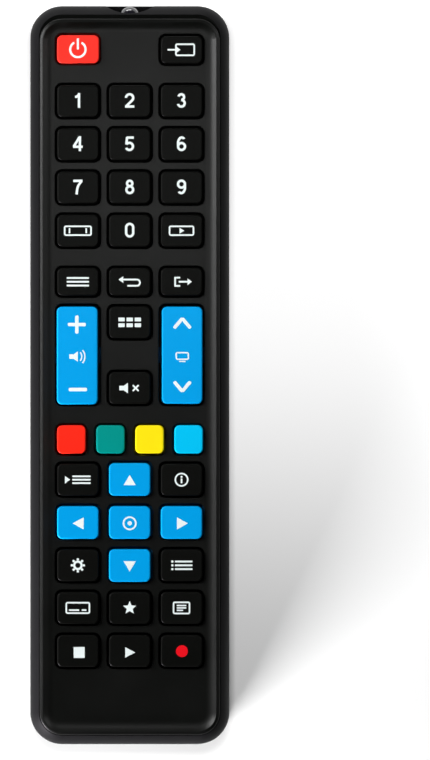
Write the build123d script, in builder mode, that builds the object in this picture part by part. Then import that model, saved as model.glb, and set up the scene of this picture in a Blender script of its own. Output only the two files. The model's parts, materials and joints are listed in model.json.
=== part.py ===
from build123d import *
import math
import os

os.makedirs("parts", exist_ok=True)

# A television remote control lying on its back, in millimetres.
# X is across, Y runs along it to the infrared end, Z is up through the keys.
# The origin is the middle of the face that it rests on.

# Keys, seen from above
key_width = 10.5
key_height = 8.1
low_key_height = 7.0
colour_key_size = 7.1
rocker_length = 24.7
key_corner = 0.7
key_gap = 0.6
key_draft = 1.5
key_edge = 0.3

# Bars of the front plate between the key windows, and the margins round them
column_web = 1.3
row_web = 1.5
section_web = 4.15
colour_row_web = 1.0
colour_column_web = 1.5
side_margin = 6.15
top_margin = 6.8
bottom_margin = 18.85

# Outer form of the housing
corner_radius = 8.0
flank_land = 0.1
wall = 2.0
rear_height = 12.0
rear_edge_radius = 4.0
crest_inset = 2.95
crest_land = 0.35
groove_width = 0.4
groove_depth = 0.35
flank_drop = 0.75
tray_slope = 2.6
tray_depth = 0.7
plate_thickness = 2.0

# How a key is held and how far it goes
key_stand = 1.5
key_travel = 0.9
key_stop_gap = 0.05
flange_lap = 0.3
flange_thickness = 1.0
flange_play = 0.2
flange_lift = 0.15
plunger_width = 5.0
plunger_height = 3.6
plunger_gap = 0.6
rocker_tab = 4.0
rocker_plunger_inset = 4.35
rocker_play = 0.2

# Circuit board and keypad mat
board_thickness = 1.2
board_side_gap = 0.8
mat_thickness = 1.0
mat_edge = 0.4
clamp_width = 1.6
pocket_gap = 1.0

# Battery cells, their bay and its contacts
cell_radius = 5.2
cell_body = 43.2
cell_nub_radius = 1.8
cell_nub = 0.8
cell_gap = 0.25
cell_lift = 0.4
bay_wall = 1.2
bay_roof = 0.85
roof_gap = 0.1
bay_inset = 9.8
contact_thickness = 0.4
contact_margin = 1.0
contact_play = 0.05
slot_gap = 0.15
leg_width = 2.0
leg_gap = 0.2
spring_length = 4.0
spring_width = 4.5
spring_thickness = 0.3

# Battery cover and its rails
cover_thickness = 1.7
cover_gap = 0.2
cover_land = 5.0
ledge_thickness = 1.5
tongue_width = 1.4
tongue_thickness = 0.8
grip_width = 15.0
grip_height = 8.0
grip_depth = 0.7
grip_inset = 9.0
grip_rib = 0.7
grip_rib_count = 5

# Joint between the two shells
lip_width = 1.4
lip_gap = 0.15

# Housing screws
boss_size = 4.8
boss_clear = 0.5
screw_head_radius = 1.9
screw_head = 1.4
screw_radius = 1.1
screw_gap = 0.05
screw_head_gap = 0.2
screw_floor = 1.4
screw_length = 10.0
screw_slot = 0.5

# Infrared light and the scallop in front of it
led_radius = 2.5
led_flange = 0.4
led_flange_thickness = 1.0
led_length = 8.6
led_dome_facets = 2
led_setback = 0.2
led_gap = 0.1
lead_size = 0.5
lead_pitch = 2.54
lead_length = 3.0
scallop_half_width = 6.1
scallop_depth = 1.9
led_boss_wall = 1.8
led_boss_length = 6.2
led_notch_gap = 0.6

# Parts under the circuit board
post_size = 2.6
post_x = 12.0
chip_width = 10.3
chip_length = 12.8
chip_body = 7.5
chip_height = 2.3
chip_legs = 8
leg_pitch = 1.27
chip_leg_width = 0.45
chip_leg_height = 0.9
part_spacing = 11.0
resonator_size = (7.0, 3.0, 3.5)
capacitor_radius = 2.5
capacitor_length = 7.0
transistor_radius = 2.3
transistor_length = 4.6
resistor_size = (2.0, 1.25, 0.55)
resistor_pitch = 3.2
resistor_count = 4

# Sizes and places that follow from the values above
column_pitch = key_width + 2 * key_gap + column_web
window_width = key_width + 2 * key_gap
window_height = key_height + 2 * key_gap
low_window = low_key_height + 2 * key_gap
colour_window = colour_key_size + 2 * key_gap
rocker_window = rocker_length + 2 * key_gap
key_pitch = window_height + row_web
colour_pitch = colour_window + colour_column_web

number_rows = 4
nav_rows = 5
keypad_length = (
    low_window
    + section_web
    + number_rows * key_pitch - row_web
    + section_web
    + low_window
    + row_web
    + rocker_window
    + section_web
    + colour_window
    + colour_row_web
    + nav_rows * key_pitch - row_web
)
width = 2 * column_pitch + window_width + 2 * side_margin
length = top_margin + keypad_length + bottom_margin
end_y = length / 2

power_row_y = end_y - top_margin - low_window / 2
number_row_y = power_row_y - low_window / 2 - section_web - window_height / 2
last_number_row_y = number_row_y - (number_rows - 1) * key_pitch
menu_row_y = last_number_row_y - window_height / 2 - section_web - low_window / 2
rocker_top_y = menu_row_y - low_window / 2 - row_web
guide_row_y = rocker_top_y - window_height / 2
rocker_row_y = rocker_top_y - rocker_window / 2
rocker_bottom_y = rocker_top_y - rocker_window
mute_row_y = rocker_bottom_y + window_height / 2
colour_row_y = rocker_bottom_y - section_web - colour_window / 2
nav_row_y = colour_row_y - colour_window / 2 - colour_row_web - window_height / 2
last_row_y = nav_row_y - (nav_rows - 1) * key_pitch
keypad_bottom_y = last_row_y - window_height / 2

# Heights, from the face that it rests on
cell_z = cover_thickness + cell_lift + cell_radius
bay_top_z = cell_z + cell_radius + cell_gap
roof_top_z = bay_top_z + bay_roof
board_z = roof_top_z + roof_gap
board_top_z = board_z + board_thickness
mat_top_z = board_top_z + mat_thickness
plunger_z = board_top_z + key_travel + key_stop_gap
flange_z = mat_top_z + key_travel + flange_lift
flange_top_z = flange_z + flange_thickness
plate_z = flange_top_z + flange_play
floor_z = plate_z + plate_thickness
crest_z = floor_z + tray_depth
key_top_z = floor_z + key_stand

# The flank is an arc that leaves the side upright and ends at the groove
flank_radius = corner_radius - flank_land
flank_end_x = crest_inset - groove_width
flank_rise = math.sqrt(flank_radius**2 - (flank_radius - flank_end_x) ** 2)
flank_z = crest_z - flank_drop - flank_rise
flank_top_z = flank_z + flank_radius

# The tray's side is an arc that starts level at its floor and ends at the crest
tray_arc = (tray_slope**2 + tray_depth**2) / (2 * tray_depth)
tray_inset = crest_inset + crest_land + tray_slope - tray_arc

# Hollows of the shells
clamp_inset = (side_margin - flange_lap) - pocket_gap
pocket_top_y = power_row_y + low_window / 2 + flange_lap + pocket_gap
pocket_bottom_y = keypad_bottom_y - flange_lap - pocket_gap
board_half_width = width / 2 - wall - board_side_gap
board_top_y = end_y - wall - board_side_gap
mat_bottom_y = pocket_bottom_y - clamp_width
board_bottom_y = mat_bottom_y - mat_edge

# Battery bay
cell_x = cell_radius + cell_gap
cell_length = cell_body + cell_nub
bay_half_width = 2 * cell_x
bay_length = cell_length + spring_length + 2 * contact_thickness + 2 * contact_play
bay_bottom_y = -end_y + bay_inset
bay_top_y = bay_bottom_y + bay_length
box_half_width = bay_half_width + bay_wall
screw_x = box_half_width + boss_clear + boss_size / 2
screw_y = board_bottom_y - boss_clear - boss_size / 2
cover_half_width = screw_x + boss_size / 2
cover_top_y = bay_top_y + cover_land
recess_z = cover_thickness + cover_gap
plate_half_width = cell_radius - contact_margin
plate_reach = cell_x + plate_half_width
plate_low_z = recess_z + contact_margin
plate_high_z = cell_z + cell_radius - contact_margin
ledge_z = recess_z + ledge_thickness
tongue_z = cover_thickness - tongue_thickness

# Screws: the head sits in the rear boss, the shank goes up into the front boss
screw_seat_z = recess_z + screw_head + screw_head_gap
rear_boss_z = screw_seat_z + screw_floor

# Infrared light
led_z = board_top_z + lead_size / 2
led_tip_y = end_y - led_setback
led_back_y = led_tip_y - led_length
led_boss_y = led_back_y + led_flange_thickness + led_gap
led_boss_half_width = led_radius + led_boss_wall
led_notch_half_width = led_boss_half_width + led_notch_gap
scallop_radius = (scallop_half_width**2 + scallop_depth**2) / (2 * scallop_depth)


def save(piece, label):
    """Name a finished piece and write it to its own file."""
    piece.label = label
    export_step(piece, f"parts/{label}.step")


def cut_rectangle(across, along, corner):
    """Points round a rectangle whose corners are cut at 45 degrees."""
    half_x = across / 2
    half_y = along / 2
    return [
        (half_x, half_y - corner),
        (half_x - corner, half_y),
        (corner - half_x, half_y),
        (-half_x, half_y - corner),
        (-half_x, corner - half_y),
        (corner - half_x, -half_y),
        (half_x - corner, -half_y),
        (half_x, corner - half_y),
    ]


# Layout of the keys: name, place across and place along
column_x = {"left": -column_pitch, "middle": 0.0, "right": column_pitch}

full_keys = [
    (f"key_{3 * row + column + 1}", (column - 1) * column_pitch, number_row_y - row * key_pitch)
    for row in range(number_rows - 1)
    for column in range(3)
]
full_keys += [
    ("ratio_key", column_x["left"], last_number_row_y),
    ("key_0", column_x["middle"], last_number_row_y),
    ("media_key", column_x["right"], last_number_row_y),
    ("guide_key", column_x["middle"], guide_row_y),
    ("mute_key", column_x["middle"], mute_row_y),
]
nav_key_names = [
    ("quick_menu_key", "up_key", "info_key"),
    ("left_key", "ok_key", "right_key"),
    ("tools_key", "down_key", "list_key"),
    ("subtitle_key", "favourite_key", "text_key"),
    ("stop_key", "play_key", "record_key"),
]
full_keys += [
    (name, (column - 1) * column_pitch, nav_row_y - row * key_pitch)
    for row, names in enumerate(nav_key_names)
    for column, name in enumerate(names)
]
low_keys = [
    ("power_key", column_x["left"], power_row_y),
    ("input_key", column_x["right"], power_row_y),
    ("menu_key", column_x["left"], menu_row_y),
    ("back_key", column_x["middle"], menu_row_y),
    ("exit_key", column_x["right"], menu_row_y),
]
colour_keys = [
    (name, (column - 1.5) * colour_pitch, colour_row_y)
    for column, name in enumerate(["red_key", "green_key", "yellow_key", "cyan_key"])
]
rockers = [
    ("volume_rocker", column_x["left"], rocker_row_y),
    ("channel_rocker", column_x["right"], rocker_row_y),
]
press_keys = [(name, x, y, key_width, key_height) for name, x, y in full_keys]
press_keys += [(name, x, y, key_width, low_key_height) for name, x, y in low_keys]
press_keys += [(name, x, y, colour_key_size, colour_key_size) for name, x, y in colour_keys]

plunger_places = [(x, y) for name, x, y, across, along in press_keys]
plunger_places += [
    (x, y + side * (rocker_length / 2 - rocker_plunger_inset))
    for name, x, y in rockers
    for side in (-1, 1)
]


# A key: a drafted cap that stands out of its window, a flange that the front
# plate keeps in, and a plunger that goes down through the mat to the board
def press_key(name, x, y, across, along):
    with BuildPart() as key:
        with BuildSketch(Plane.XY.offset(flange_top_z)):
            with Locations((x, y)):
                Polygon(*cut_rectangle(across, along, key_corner))
        extrude(amount=key_top_z - flange_top_z, taper=key_draft)
        chamfer(key.faces().sort_by(Axis.Z)[-1].edges(), key_edge)
        with BuildSketch(Plane.XY.offset(flange_z)):
            with Locations((x, y)):
                flange_grow = 2 * (key_gap + flange_lap)
                Rectangle(across + flange_grow, along + flange_grow)
        extrude(amount=flange_thickness)
        with BuildSketch(Plane.XY.offset(plunger_z)):
            with Locations((x, y)):
                Rectangle(plunger_width, plunger_height)
        extrude(amount=flange_z - plunger_z)
    save(key.part, name)


for key_values in press_keys:
    press_key(*key_values)


# A rocker: one long cap that tilts on the ridge under its middle. Two tabs beside
# the ridge keep it in, and a plunger under each end works its own contact.
def rocker_key(name, x, y):
    with BuildPart() as rocker:
        with BuildSketch(Plane.XY.offset(flange_z)):
            with Locations((x, y)):
                Polygon(*cut_rectangle(key_width, rocker_length, key_corner))
        extrude(amount=key_top_z - flange_z, taper=key_draft)
        chamfer(rocker.faces().sort_by(Axis.Z)[-1].edges(), key_edge)
        with BuildSketch(Plane.XY.offset(flange_z)):
            with Locations((x, y)):
                Rectangle(window_width + 2 * flange_lap, rocker_tab)
        extrude(amount=flange_thickness - rocker_play)
        with BuildSketch(Plane.XY.offset(plunger_z)):
            ends = rocker_length / 2 - rocker_plunger_inset
            with Locations((x, y - ends), (x, y + ends)):
                Rectangle(plunger_width, plunger_height)
        extrude(amount=flange_z - plunger_z)
        ridge = flange_z - mat_top_z - flange_play
        with BuildSketch(Plane.YZ.offset(x - plunger_width / 2)):
            with BuildLine():
                Polyline(
                    (y - ridge, flange_z),
                    (y, flange_z - ridge),
                    (y + ridge, flange_z),
                    close=True,
                )
            make_face()
        extrude(amount=plunger_width)
    save(rocker.part, name)


for rocker_values in rockers:
    rocker_key(*rocker_values)


# Front housing: a block with an arc all round its top edge, cut level at the
# crest, with a groove outside the crest and a shallow dish inside it
with BuildPart() as tray_dish:
    with BuildSketch(Plane.XY.offset(floor_z)):
        RectangleRounded(
            width - 2 * tray_inset, length - 2 * tray_inset, corner_radius - tray_inset
        )
    extrude(amount=flank_top_z)
    fillet(tray_dish.faces().sort_by(Axis.Z)[0].edges(), tray_arc)

with BuildPart() as front_housing:
    with BuildSketch(Plane.XY.offset(rear_height)):
        RectangleRounded(width, length, corner_radius)
    extrude(amount=flank_top_z - rear_height)
    fillet(front_housing.faces().sort_by(Axis.Z)[-1].edges(), flank_radius)

    # Everything above the crest, and the groove outside it
    with BuildSketch(Plane.XY.offset(crest_z)):
        Rectangle(width, length)
    extrude(amount=flank_top_z, mode=Mode.SUBTRACT)
    crest_radius = corner_radius - crest_inset
    with BuildSketch(Plane.XY.offset(crest_z - flank_drop - groove_depth)):
        RectangleRounded(
            width - 2 * flank_end_x, length - 2 * flank_end_x, corner_radius - flank_end_x
        )
        RectangleRounded(
            width - 2 * crest_inset, length - 2 * crest_inset, crest_radius, mode=Mode.SUBTRACT
        )
    extrude(amount=flank_top_z, mode=Mode.SUBTRACT)
    with BuildSketch(Plane.XY.offset(crest_z - flank_drop)):
        Rectangle(2 * width, 2 * length)
        RectangleRounded(
            width - 2 * flank_end_x,
            length - 2 * flank_end_x,
            corner_radius - flank_end_x,
            mode=Mode.SUBTRACT,
        )
    extrude(amount=flank_top_z, mode=Mode.SUBTRACT)
    add(tray_dish.part, mode=Mode.SUBTRACT)

    # Room for the board and mat, a narrower pocket above it for the flanges, and
    # another one at the tail. The edges left between them clamp the mat.
    with BuildSketch(Plane.XY.offset(rear_height)):
        RectangleRounded(width - 2 * wall, length - 2 * wall, corner_radius - wall)
    extrude(amount=mat_top_z - rear_height, mode=Mode.SUBTRACT)
    with BuildSketch(Plane.XY.offset(mat_top_z)):
        with Locations((0, (pocket_top_y + pocket_bottom_y) / 2)):
            Rectangle(width - 2 * clamp_inset, pocket_top_y - pocket_bottom_y)
        with Locations((0, (board_bottom_y - end_y + clamp_inset) / 2)):
            Rectangle(width - 2 * clamp_inset, board_bottom_y + end_y - clamp_inset)
    extrude(amount=plate_z - mat_top_z, mode=Mode.SUBTRACT)

    # Block that holds the infrared light, and the bosses for the screws
    with BuildSketch(Plane.XY.offset(rear_height)):
        with Locations((0, led_boss_y + led_boss_length / 2)):
            Rectangle(2 * led_boss_half_width, led_boss_length)
    extrude(amount=plate_z - rear_height)
    with BuildSketch(Plane.XY.offset(rear_boss_z)):
        with Locations((-screw_x, screw_y), (screw_x, screw_y)):
            Rectangle(boss_size, boss_size)
    extrude(amount=plate_z - rear_boss_z)

    # Key windows
    window_corner = key_corner + key_gap / 2
    with BuildSketch(Plane.XY.offset(plate_z)):
        for name, x, y, across, along in press_keys:
            with Locations((x, y)):
                window = cut_rectangle(across + 2 * key_gap, along + 2 * key_gap, window_corner)
                Polygon(*window)
        for name, x, y in rockers:
            with Locations((x, y)):
                Polygon(*cut_rectangle(window_width, rocker_window, window_corner))
    extrude(amount=plate_thickness, mode=Mode.SUBTRACT)

    # Scallop in the top end, and the hole for the light
    with BuildSketch(Plane.XY.offset(rear_height)):
        with Locations((0, end_y - scallop_depth + scallop_radius)):
            Circle(scallop_radius)
    extrude(amount=flank_top_z, mode=Mode.SUBTRACT)
    with BuildSketch(Plane(origin=(0, led_boss_y, led_z), z_dir=(0, 1, 0))):
        Circle(led_radius + led_gap)
    extrude(amount=led_boss_length, mode=Mode.SUBTRACT)

    # Pilot holes for the screws
    with BuildSketch(Plane.XY.offset(rear_boss_z)):
        with Locations((-screw_x, screw_y), (screw_x, screw_y)):
            Circle(screw_radius + screw_gap)
    extrude(amount=screw_length - screw_floor + screw_gap, mode=Mode.SUBTRACT)
save(front_housing.part, "front_housing")


# Rear housing: a tub whose bottom edge is rounded in two slanted steps, the battery
# bay with a round saddle over each cell, and the recess and rails for the cover
edge_step = rear_edge_radius * (1 - math.cos(math.radians(45)))

with BuildPart() as rear_form:
    with BuildSketch(Plane.XY.offset(rear_edge_radius)):
        RectangleRounded(width, length, corner_radius)
    extrude(amount=rear_height - rear_edge_radius)
    with BuildSketch(Plane.XY.offset(rear_edge_radius)):
        RectangleRounded(width, length, corner_radius)
    extrude(amount=edge_step - rear_edge_radius, taper=22.5)
    with BuildSketch(Plane.XY.offset(edge_step)):
        RectangleRounded(width - 2 * edge_step, length - 2 * edge_step, corner_radius - edge_step)
    extrude(amount=-edge_step, taper=67.5)

lip_outer = wall + lip_gap
lip_inner = lip_outer + lip_width

with BuildPart() as rear_hollow:
    with BuildSketch(Plane.XY.offset(wall)):
        RectangleRounded(width - 2 * lip_inner, length - 2 * lip_inner, corner_radius - lip_inner)
    extrude(amount=board_z - wall)
    with BuildSketch():
        with Locations((0, -end_y)):
            Rectangle(width, 2 * (end_y + cover_top_y + bay_wall))
    extrude(amount=ledge_z, mode=Mode.SUBTRACT)

with BuildPart() as rear_housing:
    add(rear_form.part)

    # Lip that locates the front housing and carries the board
    with BuildSketch(Plane.XY.offset(rear_height)):
        RectangleRounded(width - 2 * lip_outer, length - 2 * lip_outer, corner_radius - lip_outer)
    extrude(amount=board_z - rear_height)
    add(rear_hollow.part, mode=Mode.SUBTRACT)
    with BuildSketch(Plane.XY.offset(rear_height)):
        with Locations((0, end_y - lip_inner)):
            Rectangle(2 * led_notch_half_width, 2 * lip_width + 2 * lip_gap)
    extrude(amount=board_z - rear_height, mode=Mode.SUBTRACT)

    # Battery box, screw bosses and board posts
    with BuildSketch(Plane.XY.offset(recess_z)):
        with Locations((0, (bay_top_y + bay_bottom_y) / 2)):
            Rectangle(2 * box_half_width, bay_length + 2 * bay_wall)
    extrude(amount=roof_top_z - recess_z)
    with BuildSketch(Plane.XY.offset(recess_z)):
        with Locations((-screw_x, screw_y), (screw_x, screw_y)):
            Rectangle(boss_size, boss_size)
    extrude(amount=rear_boss_z - recess_z)
    with BuildSketch(Plane.XY.offset(wall / 2)):
        with Locations(
            (-post_x, menu_row_y), (post_x, menu_row_y), (-post_x, number_row_y), (post_x, number_row_y)
        ):
            Rectangle(post_size, post_size)
    extrude(amount=board_z - wall / 2)

    # Bay: open below, with a saddle over each cell
    with BuildSketch():
        with Locations((0, (bay_top_y + bay_bottom_y) / 2)):
            Rectangle(2 * bay_half_width, bay_length)
    extrude(amount=cell_z, mode=Mode.SUBTRACT)
    with BuildSketch(Plane(origin=(0, bay_bottom_y, cell_z), x_dir=(1, 0, 0), z_dir=(0, 1, 0))):
        with Locations((-cell_x, 0), (cell_x, 0)):
            Circle(cell_radius + cell_gap)
    extrude(amount=bay_length, mode=Mode.SUBTRACT)

    # Slot at each end of the bay for the contact plates
    with BuildSketch(Plane.XY.offset(recess_z)):
        slot_depth = contact_thickness + slot_gap
        with Locations((0, bay_top_y - slot_depth / 2), (0, bay_bottom_y + slot_depth / 2)):
            Rectangle(2 * (plate_reach + slot_gap), slot_depth)
    extrude(amount=plate_high_z + slot_gap - recess_z, mode=Mode.SUBTRACT)

    # Recess for the cover, open at the bottom end, and a rail groove on each side
    with BuildSketch():
        with Locations((0, -end_y)):
            Rectangle(2 * (cover_half_width + cover_gap), 2 * (end_y + cover_top_y + cover_gap))
    extrude(amount=recess_z, mode=Mode.SUBTRACT)
    with BuildSketch(Plane.XY.offset(tongue_z - cover_gap)):
        with Locations((0, -end_y)):
            Rectangle(
                2 * (cover_half_width + tongue_width + cover_gap), 2 * (end_y + cover_top_y + cover_gap)
            )
    extrude(amount=tongue_thickness + 2 * cover_gap, mode=Mode.SUBTRACT)

    # Screw seats, and slots for the legs of the two contacts under the board
    with BuildSketch():
        with Locations((-screw_x, screw_y), (screw_x, screw_y)):
            Circle(screw_head_radius + screw_head_gap)
    extrude(amount=screw_seat_z, mode=Mode.SUBTRACT)
    with BuildSketch():
        with Locations((-screw_x, screw_y), (screw_x, screw_y)):
            Circle(screw_radius + screw_head_gap)
    extrude(amount=rear_boss_z, mode=Mode.SUBTRACT)
    with BuildSketch(Plane.XY.offset(cell_z)):
        with Locations((-cell_x, bay_top_y), (cell_x, bay_top_y)):
            Rectangle(leg_width + 2 * leg_gap, 2 * (contact_thickness + leg_gap))
    extrude(amount=board_z - cell_z, mode=Mode.SUBTRACT)
save(rear_housing.part, "rear_housing")


# Battery cover: the matching piece of the rear form, with a tongue on each side
# and a ribbed thumb grip sunk into its outer face
with BuildPart() as battery_cover:
    add(rear_form.part)
    with BuildSketch():
        with Locations((0, -end_y)):
            Rectangle(2 * cover_half_width, 2 * (end_y + cover_top_y))
    extrude(amount=cover_thickness, mode=Mode.INTERSECT)
    with BuildSketch(Plane.XY.offset(tongue_z)):
        tongue_bottom_y = -end_y + rear_edge_radius
        tongue_length = cover_top_y - tongue_bottom_y
        with Locations((0, tongue_bottom_y + tongue_length / 2)):
            Rectangle(2 * (cover_half_width + tongue_width), tongue_length)
    extrude(amount=tongue_thickness)
    grip_y = cover_top_y - grip_inset
    with BuildSketch():
        with Locations((0, grip_y)):
            SlotOverall(grip_width, grip_height)
    extrude(amount=grip_depth, mode=Mode.SUBTRACT)
    with BuildSketch(Plane.XY.offset(grip_rib / 2)):
        rib_pitch = grip_height / (grip_rib_count + 1)
        with Locations((0, grip_y)):
            with GridLocations(0, rib_pitch, 1, grip_rib_count):
                Rectangle(grip_width - grip_height, grip_rib)
    extrude(amount=grip_depth - grip_rib / 2)
save(battery_cover.part, "battery_cover")


# Circuit board, with a notch for the light and slots for the contact legs
with BuildPart() as circuit_board:
    board_corner = corner_radius - wall - board_side_gap
    with BuildSketch(Plane.XY.offset(board_z)):
        with Locations((0, (board_top_y + board_bottom_y) / 2)):
            RectangleRounded(2 * board_half_width, board_top_y - board_bottom_y, board_corner)
        with Locations((0, board_top_y)):
            Rectangle(2 * led_notch_half_width, 2 * (board_top_y - led_back_y + led_gap), mode=Mode.SUBTRACT)
        leg_y = bay_top_y - contact_thickness / 2
        with Locations((-cell_x, leg_y), (cell_x, leg_y)):
            Rectangle(
                leg_width + 2 * leg_gap, contact_thickness + 2 * leg_gap, mode=Mode.SUBTRACT
            )
    extrude(amount=board_thickness)
save(circuit_board.part, "circuit_board")


# Keypad mat: a silicone sheet on the board with a window for each plunger
with BuildPart() as keypad_mat:
    mat_top_y = board_top_y - mat_edge
    with BuildSketch(Plane.XY.offset(board_top_z)):
        with Locations((0, (mat_top_y + mat_bottom_y) / 2)):
            RectangleRounded(
                2 * (board_half_width - mat_edge), mat_top_y - mat_bottom_y, board_corner - mat_edge
            )
        with Locations((0, mat_top_y)):
            notch_depth = mat_top_y - led_back_y + lead_length + led_gap
            Rectangle(2 * led_notch_half_width, 2 * notch_depth, mode=Mode.SUBTRACT)
        with Locations(*plunger_places):
            Rectangle(
                plunger_width + 2 * plunger_gap, plunger_height + 2 * plunger_gap, mode=Mode.SUBTRACT
            )
        with Locations((-cell_x, leg_y), (cell_x, leg_y)):
            Rectangle(
                leg_width + 2 * leg_gap, contact_thickness + 2 * leg_gap, mode=Mode.SUBTRACT
            )
    extrude(amount=mat_thickness)
save(keypad_mat.part, "keypad_mat")


# Infrared light: flange, round body and dome, with two leads on top of the board
with BuildPart() as ir_led:
    led_plane = Plane(origin=(0, led_back_y, led_z), x_dir=(1, 0, 0), z_dir=(0, 1, 0))
    with BuildSketch(led_plane):
        Circle(led_radius + led_flange)
    extrude(amount=led_flange_thickness)
    with BuildSketch(Plane(origin=(0, 0, led_z), x_dir=(1, 0, 0), z_dir=(0, 0, 1))):
        dome_centre_y = led_tip_y - led_radius
        dome_turns = [math.radians(90 * step / led_dome_facets) for step in range(led_dome_facets + 1)]
        dome_points = [
            (led_radius * math.cos(turn), dome_centre_y + led_radius * math.sin(turn)) for turn in dome_turns
        ]
        with BuildLine():
            Polyline(*dome_points, (0, led_back_y), (led_radius, led_back_y), close=True)
        make_face()
    revolve(axis=Axis((0, 0, led_z), (0, 1, 0)))
    with BuildSketch(led_plane):
        with Locations((-lead_pitch / 2, 0), (lead_pitch / 2, 0)):
            Rectangle(lead_size, lead_size)
    extrude(amount=-lead_length)
save(ir_led.part, "ir_led")


# Battery cell, positive end towards the given side along Y
def battery_cell(name, x, positive):
    nub_plane_y = (
        bay_top_y - contact_thickness - contact_play
        if positive > 0
        else bay_bottom_y + contact_thickness + contact_play
    )
    with BuildPart() as cell:
        nub_plane = Plane(origin=(x, nub_plane_y, cell_z), x_dir=(1, 0, 0), z_dir=(0, -positive, 0))
        with BuildSketch(nub_plane):
            Circle(cell_nub_radius)
        extrude(amount=cell_nub)
        with BuildSketch(nub_plane.offset(cell_nub)):
            Circle(cell_radius)
        extrude(amount=cell_body)
    save(cell.part, name)


battery_cell("cell_left", -cell_x, 1)
battery_cell("cell_right", cell_x, -1)


# Contacts: flat plates against the ends of the bay. The negative ones carry a bow
# of spring strip, and the two at the top end have a leg up through the board.
def plate(x_low, x_high, back_y, forward):
    """A sheet-metal plate that stands on back_y and faces along Y."""
    with BuildPart() as sheet:
        with BuildSketch(Plane.XY.offset(plate_low_z)):
            with Locations(((x_low + x_high) / 2, back_y + forward * contact_thickness / 2)):
                Rectangle(x_high - x_low, contact_thickness)
        extrude(amount=plate_high_z - plate_low_z)
    return sheet.part


def leg(x):
    """The strip that goes from a plate at the top end up to the board's upper face."""
    with BuildPart() as strip:
        with BuildSketch(Plane.XY.offset(plate_high_z)):
            with Locations((x, leg_y)):
                Rectangle(leg_width, contact_thickness)
        extrude(amount=board_top_z - plate_high_z)
    return strip.part


def spring(x, plate_y, forward):
    """A bowed leaf that stands out of a plate and bears on the flat end of a cell."""
    bow = spring_length - contact_play
    thin = spring_thickness
    with BuildPart() as leaf:
        with BuildSketch(Plane.YZ.offset(x - spring_width / 2)):
            with BuildLine():
                ThreePointArc(
                    (plate_y, plate_low_z), (plate_y + forward * bow, cell_z), (plate_y, plate_high_z)
                )
                Line((plate_y, plate_high_z), (plate_y, plate_high_z - thin))
                ThreePointArc(
                    (plate_y, plate_high_z - thin),
                    (plate_y + forward * (bow - thin), cell_z),
                    (plate_y, plate_low_z + thin),
                )
                Line((plate_y, plate_low_z + thin), (plate_y, plate_low_z))
            make_face()
        extrude(amount=spring_width)
    return leaf.part


with BuildPart() as contact_positive:
    add(plate(-cell_x - plate_half_width, -cell_x + plate_half_width, bay_top_y, -1))
    add(leg(-cell_x))
save(contact_positive.part, "contact_positive")

with BuildPart() as contact_negative:
    add(plate(cell_x - plate_half_width, cell_x + plate_half_width, bay_top_y, -1))
    add(leg(cell_x))
    add(spring(cell_x, bay_top_y - contact_thickness, -1))
save(contact_negative.part, "contact_negative")

with BuildPart() as contact_bridge:
    add(plate(-cell_x - plate_half_width, cell_x + plate_half_width, bay_bottom_y, 1))
    add(spring(-cell_x, bay_bottom_y + contact_thickness, 1))
save(contact_bridge.part, "contact_bridge")


# Two screws hold the shells together from inside the cover's recess
with BuildPart() as housing_screws:
    screw_top_z = screw_seat_z + screw_length
    with BuildSketch(Plane.XY.offset(screw_seat_z - screw_head)):
        with Locations((-screw_x, screw_y), (screw_x, screw_y)):
            Circle(screw_head_radius)
    extrude(amount=screw_head)
    with BuildSketch(Plane.XY.offset(screw_seat_z)):
        with Locations((-screw_x, screw_y), (screw_x, screw_y)):
            Circle(screw_radius)
    extrude(amount=screw_length)
    with BuildSketch(Plane.XY.offset(screw_seat_z - screw_head)):
        with Locations((-screw_x, screw_y), (screw_x, screw_y)):
            Rectangle(2 * screw_radius, screw_slot)
            Rectangle(screw_slot, 2 * screw_radius)
    extrude(amount=screw_head / 2, mode=Mode.SUBTRACT)
save(housing_screws.part, "housing_screws")


# Parts soldered under the board, between the bay and the top end
chip_y = (number_row_y + menu_row_y) / 2
resonator_y = chip_y - part_spacing
transistor_y = chip_y + part_spacing
capacitor_y = chip_y + 2 * part_spacing
resistor_y = resonator_y - part_spacing / 2

with BuildPart() as controller_chip:
    with BuildSketch(Plane.XY.offset(board_z)):
        with Locations((0, chip_y)):
            Rectangle(chip_body, chip_length)
    extrude(amount=-chip_height)
    with BuildSketch(Plane.XY.offset(board_z)):
        with Locations((0, chip_y)):
            with GridLocations(0, leg_pitch, 1, chip_legs):
                Rectangle(chip_width, chip_leg_width)
    extrude(amount=-chip_leg_height)
save(controller_chip.part, "controller_chip")

with BuildPart() as resonator:
    across, along, high = resonator_size
    with BuildSketch(Plane.XY.offset(board_z)):
        with Locations((0, resonator_y)):
            SlotOverall(across, along)
    extrude(amount=-high)
save(resonator.part, "resonator")

with BuildPart() as capacitor:
    with BuildSketch(Plane.YZ.offset(-capacitor_length / 2)):
        with Locations((capacitor_y, board_z - capacitor_radius)):
            Circle(capacitor_radius)
    extrude(amount=capacitor_length)
save(capacitor.part, "capacitor")

with BuildPart() as transistor:
    with BuildSketch(Plane.YZ.offset(-transistor_length / 2)):
        with BuildLine():
            CenterArc((transistor_y, board_z), transistor_radius, 180, 180)
            Line((transistor_y - transistor_radius, board_z), (transistor_y + transistor_radius, board_z))
        make_face()
    extrude(amount=transistor_length)
save(transistor.part, "transistor")

with BuildPart() as resistors:
    across, along, high = resistor_size
    with BuildSketch(Plane.XY.offset(board_z)):
        with Locations((0, resistor_y)):
            with GridLocations(resistor_pitch, 0, resistor_count, 1):
                Rectangle(across, along)
    extrude(amount=-high)
save(resistors.part, "resistors")
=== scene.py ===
import json
import math

import bmesh
import bpy
from mathutils import Matrix, Vector


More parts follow.
